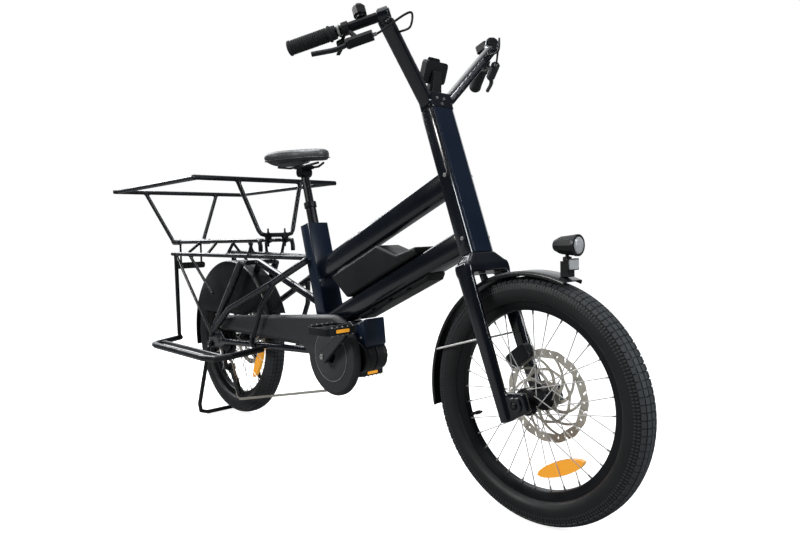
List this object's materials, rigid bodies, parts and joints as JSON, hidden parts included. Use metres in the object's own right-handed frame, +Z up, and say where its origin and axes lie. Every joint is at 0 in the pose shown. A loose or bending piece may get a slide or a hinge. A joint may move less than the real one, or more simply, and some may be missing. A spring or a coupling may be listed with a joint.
{
  "type": "longtail cargo bicycle",
  "caption": "Longtail electric cargo bicycle with mid motor, small wheels, long rear rack with passenger ring and footboards, chain drive, disc brakes and a two-legged stand.",
  "frame": {"origin": "on the ground under the middle of the bike's bounding box", "axes": "+X forward, +Y to the rider's left, +Z up"},
  "size_m": [1.9348, 0.6522, 1.1125],
  "materials": {
    "frame_gloss": "gloss black with a blue cast",
    "navy_satin": "satin navy blue",
    "rack_black": "satin black powder coat",
    "bar_black": "matt black anodised",
    "black_plastic": "black, fine grain",
    "display_gloss": "gloss black",
    "grey_plastic": "dark grey",
    "tyre": "black rubber",
    "grip_rubber": "black, soft",
    "wheel_metal": "black rims and hubs with bright spokes",
    "rotor_steel": "brushed",
    "drive_steel": "dark oiled steel",
    "dark_alloy": "dark grey anodised",
    "saddle_cover": "black synthetic leather",
    "red_lens": "red lens",
    "clear_lens": "white reflector"
  },
  "bodies": {
    "frame": {"head_tube": "frame_gloss", "head_tube_cover": "navy_satin", "top_tube": "frame_gloss", "down_tube": "frame_gloss", "seat_tube": "navy_satin", "skid_plate": "black_plastic", "battery": "black_plastic", "motor_unit": "black_plastic", "motor_cover": "navy_satin", "rear_frame_right": "frame_gloss", "rear_frame_left": "frame_gloss", "rear_brace": "frame_gloss", "rack_platform": "rack_black", "rack_side_right": "rack_black", "rack_side_left": "rack_black", "ring_rear": "rack_black", "ring_front": "rack_black", "footboard_right": "rack_black", "footboard_left": "rack_black", "tail_light": "red_lens", "rear_mudguard": "black_plastic", "chain_cover": "grey_plastic", "rear_caliper": "dark_alloy", "chain": "drive_steel", "derailleur_body": "dark_alloy", "seatpost_lower": "bar_black"},
    "steering": {"fork": "frame_gloss", "front_mudguard": "black_plastic", "front_caliper": "dark_alloy", "stem": "frame_gloss", "handlebar_right": "bar_black", "handlebar_left": "bar_black", "grip_right": "grip_rubber", "grip_left": "grip_rubber", "brake_body_right": "black_plastic", "brake_body_left": "black_plastic", "brake_hose_right": "grip_rubber", "brake_hose_left": "grip_rubber", "bell": "black_plastic", "remote": "black_plastic", "display": "display_gloss", "front_reflector": "clear_lens"},
    "front_wheel": {"front_tyre": "tyre", "front_wheel": "wheel_metal", "front_rotor": "rotor_steel"},
    "rear_wheel": {"rear_tyre": "tyre", "rear_wheel": "wheel_metal", "rear_rotor": "rotor_steel", "cassette": "drive_steel"},
    "cranks": {"crankset": "frame_gloss"},
    "right_pedal": {"pedal_right": "black_plastic"},
    "left_pedal": {"pedal_left": "black_plastic"},
    "right_brake_lever": {"brake_lever_right": "dark_alloy"},
    "left_brake_lever": {"brake_lever_left": "dark_alloy"},
    "shift_lever": {"shift_lever": "grey_plastic"},
    "chain_tensioner": {"derailleur_cage": "dark_alloy"},
    "stand": {"stand": "rack_black"},
    "seat": {"seatpost_upper": "bar_black", "saddle": "saddle_cover"},
    "front_light": {"front_light": "black_plastic"}
  },
  "joints": [
    {"name": "steering_turn", "type": "hinge", "parent": "frame", "child": "steering", "pos_m": [0.5575, 0, 0.566], "axis": [-0.319, 0, 0.9478], "range_deg": [-60, 60]},
    {"name": "front_wheel_spin", "type": "hinge", "parent": "steering", "child": "front_wheel", "pos_m": [0.7075, 0, 0.26], "axis": [0, 1, 0], "continuous": true},
    {"name": "rear_wheel_spin", "type": "hinge", "parent": "frame", "child": "rear_wheel", "pos_m": [-0.5425, 0, 0.268], "axis": [0, 1, 0], "continuous": true},
    {"name": "crank_spin", "type": "hinge", "parent": "frame", "child": "cranks", "pos_m": [0.0825, 0, 0.288], "axis": [0, 1, 0], "continuous": true},
    {"name": "right_pedal_spin", "type": "hinge", "parent": "cranks", "child": "right_pedal", "pos_m": [0.20629, -0.15, 0.38128], "axis": [0, 1, 0], "continuous": true},
    {"name": "left_pedal_spin", "type": "hinge", "parent": "cranks", "child": "left_pedal", "pos_m": [-0.04129, 0.15, 0.19472], "axis": [0, 1, 0], "continuous": true},
    {"name": "right_brake_squeeze", "type": "hinge", "parent": "steering", "child": "right_brake_lever", "pos_m": [0.41625, -0.23727, 1.02386], "axis": [-0.4579, 0.6754, -0.5782], "range_deg": [0, 8], "stiffness_Nm_per_rad": 2, "springref_deg": -11.46},
    {"name": "left_brake_squeeze", "type": "hinge", "parent": "steering", "child": "left_brake_lever", "pos_m": [0.41625, 0.23727, 1.02386], "axis": [0.4579, 0.6754, 0.5782], "range_deg": [0, 8], "stiffness_Nm_per_rad": 2, "springref_deg": -11.46},
    {"name": "shift_click", "type": "hinge", "parent": "steering", "child": "shift_lever", "pos_m": [0.38356, -0.23163, 1.03185], "axis": [-0.319, 0, 0.9478], "range_deg": [0, 25], "stiffness_Nm_per_rad": 0.2, "springref_deg": -17.19},
    {"name": "chain_tensioner_swing", "type": "hinge", "parent": "frame", "child": "chain_tensioner", "pos_m": [-0.5105, -0.055, 0.172], "axis": [0, 1, 0], "range_deg": [-25, 0], "stiffness_Nm_per_rad": 0.5, "springref_deg": 17.19},
    {"name": "stand_fold", "type": "hinge", "parent": "frame", "child": "stand", "pos_m": [-0.6025, 0, 0.25], "axis": [0, 1, 0], "range_deg": [0, 75]},
    {"name": "seat_height", "type": "slide", "parent": "frame", "child": "seat", "axis": [-0.2538, 0, 0.9673], "range_m": [-0.045, 0.06]},
    {"name": "front_light_tilt", "type": "hinge", "parent": "steering", "child": "front_light", "pos_m": [0.7915, 0, 0.558], "axis": [0, 1, 0], "range_deg": [-12, 12]}
  ]
}
